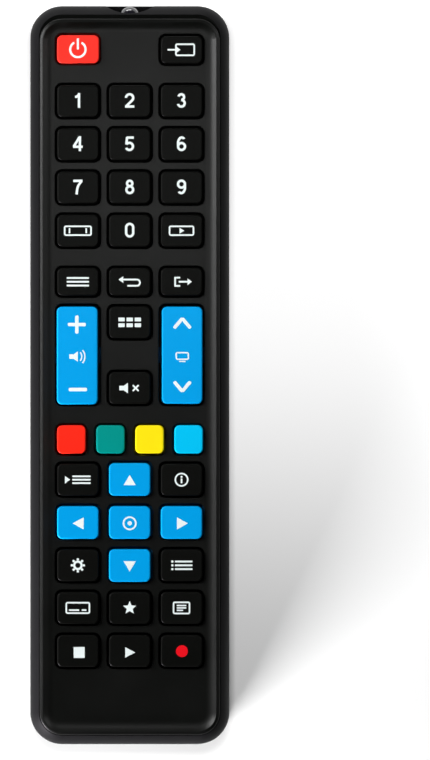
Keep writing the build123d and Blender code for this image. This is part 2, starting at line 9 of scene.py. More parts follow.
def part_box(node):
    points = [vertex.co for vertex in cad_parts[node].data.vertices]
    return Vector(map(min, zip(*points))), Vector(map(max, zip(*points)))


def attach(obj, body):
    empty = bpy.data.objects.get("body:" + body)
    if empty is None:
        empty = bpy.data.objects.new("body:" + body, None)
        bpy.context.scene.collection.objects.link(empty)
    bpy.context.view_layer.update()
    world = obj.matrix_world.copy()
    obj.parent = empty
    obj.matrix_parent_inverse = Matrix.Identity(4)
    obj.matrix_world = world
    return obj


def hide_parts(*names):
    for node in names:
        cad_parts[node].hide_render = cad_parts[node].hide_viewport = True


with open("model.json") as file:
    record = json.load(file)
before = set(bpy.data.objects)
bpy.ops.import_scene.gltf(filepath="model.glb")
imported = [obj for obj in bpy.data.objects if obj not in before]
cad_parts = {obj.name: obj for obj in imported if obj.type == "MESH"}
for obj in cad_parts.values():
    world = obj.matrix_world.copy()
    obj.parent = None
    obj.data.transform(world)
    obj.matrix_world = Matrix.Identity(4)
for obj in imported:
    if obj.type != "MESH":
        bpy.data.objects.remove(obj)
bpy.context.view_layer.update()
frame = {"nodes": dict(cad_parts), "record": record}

MM = 0.001

# Measures, in millimetres as in the part's own source.
# An inset is how far a place lies inside the outline.

WIDTH, LENGTH, CORNER = 50.0, 185.4, 8.0
PARTING, PARTING_GAP, PARTING_STEP = 12.0, 0.25, 0.18
REAR_EDGE = 4.0

# The front housing, from its flank over groove and crest to the tray, then its inside.
FLANK_RADIUS, FLANK_START = 7.9, 14.287
GROOVE_INSET, GROOVE_END, GROOVE_DROP = 2.22, 2.41, 0.45
CREST_TOP, TOP_SHIFT = 20.85, 0.85
SLOPE_START, SLOPE_END, SLOPE_RADIUS, TRAY_FLOOR = 3.3, 5.9, 5.179, 20.15
RIM_FOOT = 19.5
PLATE_UNDERSIDE, MAT_TOP = 18.15, 15.9
WALL, MAT_LEDGE = 2.0, 2.85
WINDOW_GAP, WINDOW_CORNER, WINDOW_EDGE = 0.525, 1.8, 0.12
SCALLOP_RADIUS, SCALLOP_DEPTH, SCALLOP_Z = 10.742, 1.9, 18.5
LIGHT_Z, LIGHT_FOOT_Y, LIGHT_HOLE = 15.15, 83.9, 2.6
LIGHT_BOSS, LIGHT_BOSS_Y = (8.6, 6.2, 0.6), 88.1
PILOT_HOLE, PILOT_TOP = 1.15, 13.6

# The keys.
KEY_TOP, KEY_EDGE, KEY_DRAFT = 21.65, 0.34, 1.5
FLANGE_LOW, FLANGE_TOP, FLANGE_REACH, SKIRT = 16.95, 17.95, 0.9, 0.4
FLANGE_CORNER, KEY_CORNER = 2.25, 1.35
PLUNGER_LOW, PLUNGER = 15.85, (5.0, 3.6, 0.4)
ROCKER_PLUNGER_Y, ROCKER_TAB = 8.0, 4.0
FIGURE_HEIGHT, FIGURE_RAISED = 3.74, 0.14
PRINT_SUNK, PRINT_HEIGHT, LAYER = 0.02, 0.04, 0.002

# The rear housing, with its lip, battery bay and cover.
LIP_INSET, LIP_TOP, HOLLOW_INSET, HOLLOW_LOW = 2.15, 13.7, 3.55, 2.0
BAY_TOP_Y, BAY_BOTTOM_Y, BAY_HALF, BAY_WALL = -34.0, -82.9, 10.9, 1.2
BAY_CEILING, TAIL_FLOOR = 13.6, 3.4
CELL_X, CELL_Z, CELL_BORE = 5.45, 7.3, 5.49
CONTACT_HALF, CONTACT_DEPTH, CONTACT_TOP = 9.8, 0.55, 11.65
SCREW_X, SCREW_Y, HEAD_HOLE, SHANK_HOLE = 15.0, -80.05, 2.1, 1.3
BOSS, BOSS_TOP, BOARD_POST, BOARD_POST_Y = 4.8, 4.9, 2.6, (23.6, 68.9)
COVER_TOP_Y, COVER_HALF, COVER_PLAY, COVER_THICK = -29.0, 17.4, 0.2, 1.7
RECESS_TOP, RAIL_LOW, RAIL_HALF, TONGUE_LOW, TONGUE_HALF = 1.9, 0.7, 19.0, 0.9, 18.8
GRIP_ACROSS, GRIP_ALONG, GRIP_CORNER, RIB = 15.0, 8.0, 3.98, 0.35

# The opening in the studio floor, inside the remote's footprint.
OPENING = (42.4, 177.8)


# Camera and stage


def studio_camera():
    """A long lens straight above, shifted by its place so that the frame is the photograph's."""
    lens = bpy.data.cameras.new("studio_camera")
    lens.sensor_width = 36
    lens.lens = 940.1
    lens.clip_start, lens.clip_end = 0.05, 20
    camera = bpy.data.objects.new("studio_camera", lens)
    camera.location = (0.0214, -0.00123, 5.0)
    bpy.context.scene.collection.objects.link(camera)
    bpy.context.scene.camera = camera
    bpy.context.scene.view_settings.view_transform = "Standard"


def nodes_of(owner):
    """The empty node and link lists of a material or world."""
    owner.use_nodes = True
    owner.node_tree.nodes.clear()
    return owner.node_tree.nodes, owner.node_tree.links


def new_node(nodes, kind, **sockets):
    """A shader node with values on its sockets, which are named with _ for a space."""
    made = nodes.new("ShaderNode" + kind)
    for socket, value in sockets.items():
        made.inputs[socket.replace("_", " ")].default_value = value
    return made


def ramp(nodes, links, source, start, end, low=0.0, high=1.0, smooth=True):
    """Goes from low to high as source goes from start to end."""
    made = new_node(nodes, "MapRange", From_Min=start, From_Max=end, To_Min=low, To_Max=high)
    made.interpolation_type = "SMOOTHSTEP" if smooth else "LINEAR"
    links.new(source, made.inputs["Value"])
    return made.outputs[0]


def pair(nodes, links, operation, first, second):
    """A Math node of two linked values."""
    made = nodes.new("ShaderNodeMath")
    made.operation = operation
    links.new(first, made.inputs[0])
    links.new(second, made.inputs[1])
    return made.outputs[0]


def pick(nodes, links, factor, first, second):
    """First shader where factor is 0, second where it is 1."""
    made = nodes.new("ShaderNodeMixShader")
    for socket, source in enumerate((factor, first, second)):
        links.new(source, made.inputs[socket])
    return made.outputs[0]


def floor_material():
    """White sweep: matte white that keeps shadows and lifts for the camera, to clean white far off and with
    painted shade near the remote.
    """
    material = bpy.data.materials.new("white_sweep_painted_shade")
    nodes, links = nodes_of(material)
    place = nodes.new("ShaderNodeTexCoord").outputs["Object"]
    split = nodes.new("ShaderNodeSeparateXYZ")
    links.new(place, split.inputs[0])
    reach = nodes.new("ShaderNodeVectorMath")
    reach.operation = "LENGTH"
    links.new(place, reach.inputs[0])

    # Painted shade: the lift is faint beside the lower half, so the floor and the lamp's shadow there read
    # darker, stronger towards the top end, and full past it and far off.
    along = ramp(nodes, links, split.outputs["Y"], -0.09, 0.03, 0.045, 0.58)
    # Painted shade: the lift is weaker on the left, so the left flank reflects a darker floor.
    across = ramp(nodes, links, split.outputs["X"], -0.03, 0.0, 0.55, 1.0)
    past_end = ramp(nodes, links, split.outputs["Y"], 0.085, 0.093)
    far = ramp(nodes, links, reach.outputs["Value"], 0.15, 0.45)
    painted_floor_shade = pair(nodes, links, "MULTIPLY", along, across)
    shaded_lift = pair(nodes, links, "MAXIMUM", pair(nodes, links, "MAXIMUM", painted_floor_shade, past_end), far)
    lift = nodes.new("ShaderNodeEmission")
    links.new(shaded_lift, lift.inputs["Strength"])

    ray = nodes.new("ShaderNodeLightPath").outputs
    seen = pair(nodes, links, "MAXIMUM", ray["Is Camera Ray"], ray["Is Glossy Ray"])
    seen = pair(nodes, links, "MAXIMUM", seen, ray["Is Transmission Ray"])
    dark = new_node(nodes, "Emission", Strength=0)
    paper = new_node(nodes, "BsdfDiffuse", Color=(0.82, 0.82, 0.82, 1))
    both = nodes.new("ShaderNodeAddShader")
    links.new(paper.outputs[0], both.inputs[0])
    links.new(pick(nodes, links, seen, dark.outputs[0], lift.outputs[0]), both.inputs[1])
    out = nodes.new("ShaderNodeOutputMaterial")
    links.new(both.outputs[0], out.inputs["Surface"])
    return material


def stage_floor():
    """Wide sheet with an opening where the remote lies, so its back can be seen from below."""
    mesh = bmesh.new()
    bmesh.ops.create_grid(mesh, x_segments=3, y_segments=3, size=3.0)
    middle = min(mesh.faces, key=lambda face: face.calc_center_median().length)
    for vert in middle.verts:
        vert.co.x = math.copysign(OPENING[0] / 2 * MM, vert.co.x)
        vert.co.y = math.copysign(OPENING[1] / 2 * MM, vert.co.y)
    bmesh.ops.delete(mesh, geom=[middle], context="FACES_ONLY")
    bmesh.ops.translate(mesh, vec=(0, 0, -0.02 * MM), verts=mesh.verts)
    data = bpy.data.meshes.new("floor")
    mesh.to_mesh(data)
    mesh.free()
    floor = bpy.data.objects.new("floor", data)
    bpy.context.scene.collection.objects.link(floor)
    floor.data.materials.append(floor_material())


def studio_world():
    """Clean white for the camera. The object sees a dim room that is brighter near the floor."""
    world = bpy.data.worlds.new("studio")
    bpy.context.scene.world = world
    nodes, links = nodes_of(world)
    split = nodes.new("ShaderNodeSeparateXYZ")
    links.new(nodes.new("ShaderNodeTexCoord").outputs["Generated"], split.inputs[0])
    room = nodes.new("ShaderNodeBackground")
    dimming = ramp(nodes, links, split.outputs["Z"], 0.1, 0.8, 0.2, 0.0, smooth=False)
    links.new(dimming, room.inputs["Strength"])
    white = new_node(nodes, "Background", Color=(1, 1, 1, 1), Strength=1.0)
    ray = nodes.new("ShaderNodeLightPath")
    seen = pick(nodes, links, ray.outputs["Is Camera Ray"], room.outputs[0], white.outputs[0])
    out = nodes.new("ShaderNodeOutputWorld")
    links.new(seen, out.inputs["Surface"])


def softbox(name, place, aim, across, along, watts, lights, tint=(1, 1, 1)):
    """Rectangular lamp. It lights either the floor or everything but the floor."""
    lamp = bpy.data.lights.new(name, "AREA")
    lamp.shape = "RECTANGLE"
    lamp.size, lamp.size_y = across, along
    lamp.energy = watts
    lamp.color = tint
    box = bpy.data.objects.new(name, lamp)
    box.location = place
    box.rotation_euler = (Vector(aim) - Vector(place)).to_track_quat("-Z", "Y").to_euler()
    bpy.context.scene.collection.objects.link(box)
    group = bpy.data.collections.new(name + "_reach")
    group.objects.link(bpy.data.objects["floor"])
    box.light_linking.receiver_collection = group
    if lights == "object":
        group.collection_objects[0].light_linking.link_state = "EXCLUDE"


def studio_lights():
    """Each row: place, aim, size across and along, watts, what it lights and its tint."""
    rows = {
        "key_softbox": ((-0.46, 0.20, 0.46), (0, 0.03, 0.02), 0.26, 0.30, 5.3, "object"),
        "fill_softbox": ((0.45, 0.22, 0.48), (0, 0.03, 0.02), 0.30, 0.30, 1.0, "object"),
        "overhead_softbox": ((0.0, 0.058, 0.25), (0, 0.058, 0), 0.07, 0.06, 0.054, "object"),
        "low_glow": ((-0.26, -0.29, 0.035), (-0.02, -0.06, 0.01), 0.12, 0.05, 4.2, "object",
                     (0.98, 0.93, 1.0)),
        "top_glow": ((-0.05, 0.40, 0.03), (0, 0.09, 0.015), 0.25, 0.03, 0.6, "object"),
        "under_softbox": ((-0.25, 0.10, -0.55), (0, 0, 0), 0.35, 0.35, 6.0, "object"),
        "low_lamp": ((-0.22, -0.365, 0.09), (0.01, -0.05, 0.0), 0.20, 0.07, 5.4, "floor"),
        "floor_softbox": ((0.0, 0.17, 1.2), (0, 0, 0), 0.22, 0.22, 7.3, "floor"),
    }
    for name, row in rows.items():
        softbox(name, *row)


# Finishes


def shaded(name):
    """A new material: itself, its nodes, its links, its Principled shader and its Object coordinates."""
    material = bpy.data.materials.new(name)
    nodes, links = nodes_of(material)
    shader = nodes.new("ShaderNodeBsdfPrincipled")
    out = nodes.new("ShaderNodeOutputMaterial")
    links.new(shader.outputs[0], out.inputs["Surface"])
    return material, nodes, links, shader, nodes.new("ShaderNodeTexCoord").outputs["Object"]


def noise(nodes, links, place, scale, detail=2):
    """Cloudy pattern, with scale patches to the metre."""
    made = new_node(nodes, "TexNoise", Scale=scale, Detail=detail)
    links.new(place, made.inputs["Vector"])
    return made.outputs["Fac"]


def two_tones(nodes, links, shader, pattern, tone, second_tone):
    """Colour that drifts between two tones with the pattern."""
    mix = nodes.new("ShaderNodeMix")
    mix.data_type = "RGBA"
    links.new(pattern, mix.inputs[0])
    mix.inputs[6].default_value = (*tone, 1)
    mix.inputs[7].default_value = (*second_tone, 1)
    links.new(mix.outputs[2], shader.inputs["Base Color"])


def uneven_sheen(nodes, links, shader, pattern, low, high):
    """Roughness that drifts between low and high with the pattern."""
    links.new(ramp(nodes, links, pattern, 0, 1, low, high, smooth=False), shader.inputs["Roughness"])


def relief(nodes, links, shader, pattern, strength, depth):
    """Fine bumps that follow the pattern, with their depth in millimetres."""
    bump = new_node(nodes, "Bump", Strength=strength, Distance=depth * MM)
    links.new(pattern, bump.inputs["Height"])
    links.new(bump.outputs[0], shader.inputs["Normal"])


def moulded_plastic(name, tone, second_tone, roughness, grain=0.35, depth=0.02, gloss=0.5):
    """Injection-moulded plastic: fine spark-eroded grain, faint cloudiness and uneven sheen."""
    material, nodes, links, shader, place = shaded(name)
    shader.inputs["Specular IOR Level"].default_value = gloss
    cloud = noise(nodes, links, place, 90, 3)
    two_tones(nodes, links, shader, cloud, tone, second_tone)
    uneven_sheen(nodes, links, shader, cloud, roughness - 0.05, roughness + 0.05)
    relief(nodes, links, shader, noise(nodes, links, place, 1000 / grain), 0.5, depth)
    return material


def bare_metal(name, tone, roughness, grain):
    """Plated or drawn metal: rolling marks that are longer one way, seen in its sheen and relief."""
    material, nodes, links, shader, place = shaded(name)
    shader.inputs["Metallic"].default_value = 1.0
    turn = new_node(nodes, "Mapping", Scale=grain)
    links.new(place, turn.inputs["Vector"])
    marks = noise(nodes, links, turn.outputs[0], 20, 4)
    two_tones(nodes, links, shader, marks, tone, [0.8 * part for part in tone])
    uneven_sheen(nodes, links, shader, marks, roughness - 0.08, roughness + 0.12)
    relief(nodes, links, shader, marks, 0.3, 0.005)
    return material


def laminate(name, mask, track):
    """Green lacquered board: paler lines where copper tracks run under the lacquer."""
    material, nodes, links, shader, place = shaded(name)
    tracks = new_node(nodes, "TexBrick", Scale=160, Mortar_Size=0.03, Mortar_Smooth=0.2, Color1=(*mask, 1),
                      Color2=(*(1.3 * part for part in mask), 1), Mortar=(*track, 1))
    links.new(place, tracks.inputs["Vector"])
    links.new(tracks.outputs["Color"], shader.inputs["Base Color"])
    uneven_sheen(nodes, links, shader, noise(nodes, links, place, 200), 0.22, 0.38)
    relief(nodes, links, shader, tracks.outputs["Fac"], 0.4, 0.03)
    return material


# Two tones, roughness, grain and its depth in millimetres, gloss.
PLASTICS = {
    "front_shell": ((0.0016, 0.0019, 0.0015), (0.0029, 0.0033, 0.0027), 0.37, 0.35, 0.02, 0.22),
    "front_flank": ((0.0026, 0.0026, 0.0030), (0.0040, 0.0040, 0.0045), 0.58, 0.35, 0.02, 0.062),
    "rear_shell": ((0.0026, 0.0026, 0.0030), (0.0040, 0.0040, 0.0045), 0.58, 0.35, 0.02, 0.062),
    "black_key": ((0.0020, 0.0022, 0.0018), (0.0032, 0.0035, 0.0029), 0.40, 0.2, 0.008, 0.065),
    # The black key's skirt is its colour painted darker as shade deep in the windows.
    "black_key_skirt": ((0.0005, 0.0005, 0.0005), (0.0009, 0.0009, 0.0008), 0.5, 0.2, 0.008, 0.02),
    "ink": ((0.82, 0.90, 0.89), (0.75, 0.83, 0.82), 0.5, 0.15, 0.004),
    "red_ink": ((0.82, 0.004, 0.012), (0.76, 0.003, 0.010), 0.5, 0.15, 0.004, 0.1),
    "silicone": ((0.008, 0.009, 0.010), (0.014, 0.015, 0.016), 0.7, 0.5, 0.01, 0.15),
    "chip_body": ((0.006, 0.006, 0.006), (0.012, 0.012, 0.012), 0.6),
    "light_lens": ((0.006, 0.006, 0.009), (0.009, 0.008, 0.012), 0.08, 0.5, 0.001, 0.8),
    "cell_wrap": ((0.016, 0.017, 0.019), (0.024, 0.025, 0.027), 0.28, 0.5, 0.002),
    "cell_band": ((0.62, 0.30, 0.07), (0.56, 0.26, 0.06), 0.28, 0.5, 0.002),
    "capacitor_sleeve": ((0.02, 0.03, 0.07), (0.03, 0.04, 0.09), 0.35, 0.3, 0.003),
}
# Tone, roughness, and how fine the marks are along X, Y and Z.
METALS = {
    "plated_metal": ((0.66, 0.66, 0.64), 0.24, (60, 60, 60)),
    "contact_steel": ((0.60, 0.61, 0.62), 0.20, (400, 40, 40)),
    "screw_steel": ((0.42, 0.42, 0.43), 0.30, (300, 300, 20)),
}
# Coloured keys: two tones. Their skirts, deep in the windows, are their colour painted darker as shade.
KEY_TONES = {
    "power_red": ((0.96, 0.036, 0.024), (0.91, 0.028, 0.018)),
    "blue_key": ((0.0, 0.338, 0.765), (0.0, 0.308, 0.705)),
    "red_key": ((0.96, 0.024, 0.010), (0.91, 0.019, 0.008)),
    "green_key": ((0.0, 0.282, 0.245), (0.0, 0.254, 0.22)),
    "yellow_key": ((0.96, 0.77, 0.006), (0.92, 0.72, 0.005)),
    "cyan_key": ((0.0, 0.53, 0.87), (0.0, 0.49, 0.82)),
}
# How dark the painted shade on a coloured key's skirt is, as a share of its tones.
SKIRT_PAINTED_SHADE = 0.15

FINISH = {name: moulded_plastic(name, *row) for name, row in PLASTICS.items()}
FINISH["board"] = laminate("board", (0.010, 0.070, 0.026), (0.035, 0.15, 0.055))
for name, row in METALS.items():
    FINISH[name] = bare_metal(name, *row)
for name, tones in KEY_TONES.items():
    shaded_tones = [tuple(SKIRT_PAINTED_SHADE * part for part in tone) for tone in tones]
    FINISH[name] = moulded_plastic(name, *tones, 0.34, 0.2, 0.008, 0.07)
    FINISH[name + "_skirt"] = moulded_plastic(name + "_skirt", *shaded_tones, 0.5, 0.2, 0.008, 0.07)


# Shaping


def block(across, along, corner, low, high, x=0.0, y=0.0, segments=8):
    """Closed block with rounded upright corners. Sizes in millimetres."""
    mesh = bmesh.new()
    bmesh.ops.create_cube(mesh, size=1.0)
    bmesh.ops.scale(mesh, vec=(across, along, high - low), verts=mesh.verts)
    if corner:
        upright = [edge for edge in mesh.edges if edge.verts[0].co.z != edge.verts[1].co.z]
        bmesh.ops.bevel(mesh, geom=upright, offset=corner, offset_type="OFFSET", segments=segments,
                        profile=0.5, affect="EDGES", material=-1)
    bmesh.ops.translate(mesh, vec=(x, y, (low + high) / 2), verts=mesh.verts)
    mesh.normal_update()
    return mesh


def top_of(mesh):
    """The highest of the faces that point up."""
    return max(mesh.faces, key=lambda face: (round(face.normal.z, 2), face.calc_center_median().z))


def bottom_of(mesh):
    """The lowest of the faces that point down."""
    return min(mesh.faces, key=lambda face: (round(face.normal.z, 2), face.calc_center_median().z))


def step(mesh, face, inward, rise):
    """Insets a flat face by inward and pushes it out by rise."""
    bmesh.ops.inset_region(mesh, faces=[face], thickness=inward, depth=rise, use_even_offset=True)
    mesh.normal_update()


def quarter(segments):
    """Angles from 0 to a right angle."""
    return [math.radians(90 * i / segments) for i in range(segments + 1)]


def turned(mesh, degrees, axis="Z"):
    """Turns a mesh about an axis through its origin."""
    turn = Matrix.Rotation(math.radians(degrees), 3, axis)
    bmesh.ops.rotate(mesh, cent=(0, 0, 0), matrix=turn, verts=mesh.verts)
    return mesh


def moved(mesh, x, y, z=0):
    """Moves a mesh, by millimetres."""
    bmesh.ops.translate(mesh, vec=(x, y, z), verts=mesh.verts)
    return mesh


def round_over(mesh, face, radius, segments):
    """Pushes a flat face out over a rounded edge."""
    turns = quarter(segments)
    for low, high in zip(turns, turns[1:]):
        inward = radius * (math.cos(low) - math.cos(high))
        step(mesh, face, inward, radius * (math.sin(high) - math.sin(low)))


def follow(mesh, face, profile):
    """Steps a flat face through a list of (inset, height) places."""
    for (inset, height), (next_inset, next_height) in zip(profile, profile[1:]):
        step(mesh, face, next_inset - inset, next_height - height)


def gather(meshes):
    """One bmesh that holds the closed forms of several."""
    whole = bmesh.new()
    for mesh in meshes:
        data = bpy.data.meshes.new("part")
        mesh.to_mesh(data)
        mesh.free()
        whole.from_mesh(data)
        bpy.data.meshes.remove(data)
    return whole


def piece(name, mesh, *finishes):
    """Object from a bmesh in millimetres, with its place in its mesh."""
    bmesh.ops.scale(mesh, vec=(MM, MM, MM), verts=mesh.verts)
    data = bpy.data.meshes.new(name)
    mesh.to_mesh(data)
    mesh.free()
    made = bpy.data.objects.new(name, data)
    bpy.context.scene.collection.objects.link(made)
    for finish in finishes:
        data.materials.append(FINISH[finish])
    return made


def carve(made, tool, operation):
    """Cuts, joins or intersects a piece with a tool form, and applies it."""
    carve_with(made, piece("tool", tool), operation)


def carve_with(made, cutter, operation):
    """The same with another piece, which is used up."""
    change = made.modifiers.new("change", "BOOLEAN")
    change.operation = operation
    change.solver = "EXACT"
    change.object = cutter
    bpy.context.view_layer.update()
    shown = made.evaluated_get(bpy.context.evaluated_depsgraph_get())
    data = bpy.data.meshes.new_from_object(shown)
    made.modifiers.clear()
    made.data = data
    bpy.data.objects.remove(cutter)


def polish(made, angle=32):
    """Smooth shading that keeps flats flat."""
    made.data.shade_smooth()
    made.data.set_sharp_from_angle(angle=math.radians(angle))
    even = made.modifiers.new("even", "WEIGHTED_NORMAL")
    even.keep_sharp = True


def finish_piece(made, body, node):
    """Smooths a piece that rides on a body and stands for a node."""
    polish(made)
    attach(made, body)
    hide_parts(node)


# Housings


def outer_flank():
    """The arc from the upright side up to the groove, as (inset, height)."""
    end = math.acos((FLANK_RADIUS - GROOVE_INSET) / FLANK_RADIUS)
    turns = [end * i / 12 for i in range(13)]
    return [(FLANK_RADIUS * (1 - math.cos(t)), FLANK_START + FLANK_RADIUS * math.sin(t)) for t in turns]


# The groove and the crest, as (inset, height).
GROOVE = [(2.24, 19.77), (2.26, 19.70), (2.28, 19.60), (2.32, 19.55), (2.37, 19.54), (GROOVE_END, 19.57),
          (2.44, 19.66)]
CREST = [(2.44, 20.42), (2.47, 20.52), (2.54, 20.60), (2.74, 20.69), (2.94, 20.755), (3.12, 20.81),
         (3.28, 20.835)]


def tray_slope():
    """The arc from the crest down to the level floor of the tray."""
    start = math.asin((SLOPE_END - SLOPE_START) / SLOPE_RADIUS)
    turns = [start * (1 - i / 10) for i in range(1, 11)]
    return [(SLOPE_END - SLOPE_RADIUS * math.sin(t), TRAY_FLOOR + SLOPE_RADIUS * (1 - math.cos(t)))
            for t in turns]


def lowered(name):
    """How much nearer to the bottom end a black key and its window lie than its solid, in mm."""
    rows = {
        0.14: ("key_1", "key_2", "key_3"),
        0.19: ("key_4", "key_5", "key_6", "input_key", "menu_key", "back_key", "exit_key"),
        0.24: ("key_7", "key_8", "key_9", "quick_menu_key", "info_key"),
        0.28: ("key_0", "ratio_key", "media_key"),
        0.12: ("tools_key", "list_key", "guide_key"),
    }
    return max((drop for drop, names in rows.items() if name in names), default=0)


def keys_seen():
    """Name, place and size of each key from its CAD solid, without its flange or tabs."""
    rows = []
    for name in frame["nodes"]:
        if name.endswith(("_key", "_rocker")) or name.startswith("key_"):
            low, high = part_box(name)
            x, y = (low.x + high.x) / 2 / MM, (low.y + high.y) / 2 / MM
            across, along = (high.x - low.x) / MM - 2 * FLANGE_REACH, (high.y - low.y) / MM
            if not name.endswith("_rocker"):
                along -= 2 * FLANGE_REACH
            rows.append((name, x, y - lowered(name), round(across, 3), round(along, 3)))
    return rows


KEYS = keys_seen()


def inset_of(place):
    """How far a place lies inside the outline, in plan."""
    over_x = max(0, abs(place.x) - WIDTH / 2 + CORNER)
    over_y = max(0, abs(place.y) - LENGTH / 2 + CORNER)
    return CORNER - Vector((over_x, over_y)).length


def front_form():
    """The shell before its openings: groove and crest lie further in at the top end."""
    mesh = block(WIDTH, LENGTH, CORNER, PARTING, FLANK_START, segments=12)
    follow(mesh, top_of(mesh), outer_flank() + GROOVE + CREST + tray_slope())
    end_y = LENGTH / 2 - CORNER
    end = [vert for vert in mesh.verts
           if vert.co.y > end_y - 0.01 and vert.co.z > RIM_FOOT and inset_of(vert.co) > GROOVE_END - 0.01]
    for vert in end:
        if inset_of(vert.co) < GROOVE_END + 0.02:
            vert.co.z -= GROOVE_DROP * (vert.co.y - end_y) / (CORNER - GROOVE_END)
    bmesh.ops.translate(mesh, vec=(0, -TOP_SHIFT, 0), verts=end)
    bottom = bottom_of(mesh)
    step(mesh, bottom, WALL, 0)
    step(mesh, bottom, 0, PARTING - MAT_TOP)
    step(mesh, bottom, MAT_LEDGE, 0)
    step(mesh, bottom, 0, MAT_TOP - PLATE_UNDERSIDE)
    return mesh


def front_housing():
    """Front moulding with its bosses, key windows, scallop and the hole for the light."""
    shell = piece("front_shell_moulding", front_form(), "front_shell")
    into_plate = PLATE_UNDERSIDE + 0.5
    carve(shell, block(*LIGHT_BOSS, PARTING + 0.02, into_plate, 0, LIGHT_BOSS_Y), "UNION")
    for side in (-1, 1):
        boss = block(BOSS, BOSS, 0.5, BOSS_TOP + 0.05, into_plate, side * SCREW_X, SCREW_Y, 4)
        carve(shell, boss, "UNION")
        carve(shell, post(PILOT_HOLE, 4, PILOT_TOP, side * SCREW_X, SCREW_Y), "DIFFERENCE")

    windows = [block(across + 2 * WINDOW_GAP, along + 2 * WINDOW_GAP, WINDOW_CORNER, PLATE_UNDERSIDE - 0.5,
                     CREST_TOP + 1, x, y, 6) for _, x, y, across, along in KEYS]
    carve(shell, gather(windows), "DIFFERENCE")
    scallop_y = LENGTH / 2 - SCALLOP_DEPTH + SCALLOP_RADIUS
    carve(shell, post(SCALLOP_RADIUS, SCALLOP_Z - 7, SCALLOP_Z + 7, 0, scallop_y, 96), "DIFFERENCE")
    carve(shell, rod(LIGHT_HOLE, 83.5, 93.5, 0, LIGHT_Z), "DIFFERENCE")
    soften_windows(shell)
    shell.data.materials.append(FINISH["front_flank"])
    for face in shell.data.polygons:
        face.material_index = int(inset_of(face.center / MM) < GROOVE_INSET + 0.1)
    finish_piece(shell, "housing", "front_housing")


def soften_windows(shell):
    """A small radius round each key window where it meets the tray floor."""
    mesh = bmesh.new()
    mesh.from_mesh(shell.data)
    bmesh.ops.remove_doubles(mesh, verts=mesh.verts, dist=1e-7)
    mesh.normal_update()
    level = TRAY_FLOOR * MM
    rims = []
    for edge in mesh.edges:
        if len(edge.link_faces) != 2 or any(abs(v.co.z - level) > 1e-6 for v in edge.verts):
            continue
        tilts = sorted(face.normal.z for face in edge.link_faces)
        if tilts[0] < 0.2 and tilts[1] > 0.99:
            rims.append(edge)
    bmesh.ops.bevel(mesh, geom=rims, offset=WINDOW_EDGE * MM, offset_type="OFFSET", segments=3, profile=0.5,
                    affect="EDGES", material=-1)
    mesh.to_mesh(shell.data)
    mesh.free()


def rod(radius, start, end, x, z, segments=48):
    """Closed round bar along Y."""
    mesh = bmesh.new()
    bmesh.ops.create_cone(mesh, cap_ends=True, segments=segments, radius1=radius, radius2=radius,
                          depth=end - start, matrix=Matrix.Rotation(math.pi / 2, 4, "X"))
    return moved(mesh, x, (start + end) / 2, z)


def post(radius, low, high, x, y, segments=40):
    """Closed round bar along Z."""
    mesh = bmesh.new()
    bmesh.ops.create_cone(mesh, cap_ends=True, segments=segments, radius1=radius, radius2=radius,
                          depth=high - low)
    return moved(mesh, x, y, (low + high) / 2)


def between(x_low, x_high, y_low, y_high, low, high, corner=0.0, segments=4):
    """Closed block between two corners."""
    return block(x_high - x_low, y_high - y_low, corner, low, high,
                 (x_low + x_high) / 2, (y_low + y_high) / 2, segments)


def rear_form():
    """The rear shell's outer form, with its bottom edge rounded all round."""
    mesh = block(WIDTH, LENGTH, CORNER, REAR_EDGE, PARTING - PARTING_GAP, segments=12)
    step(mesh, top_of(mesh), PARTING_STEP, PARTING_GAP)
    round_over(mesh, bottom_of(mesh), REAR_EDGE, 8)
    return mesh


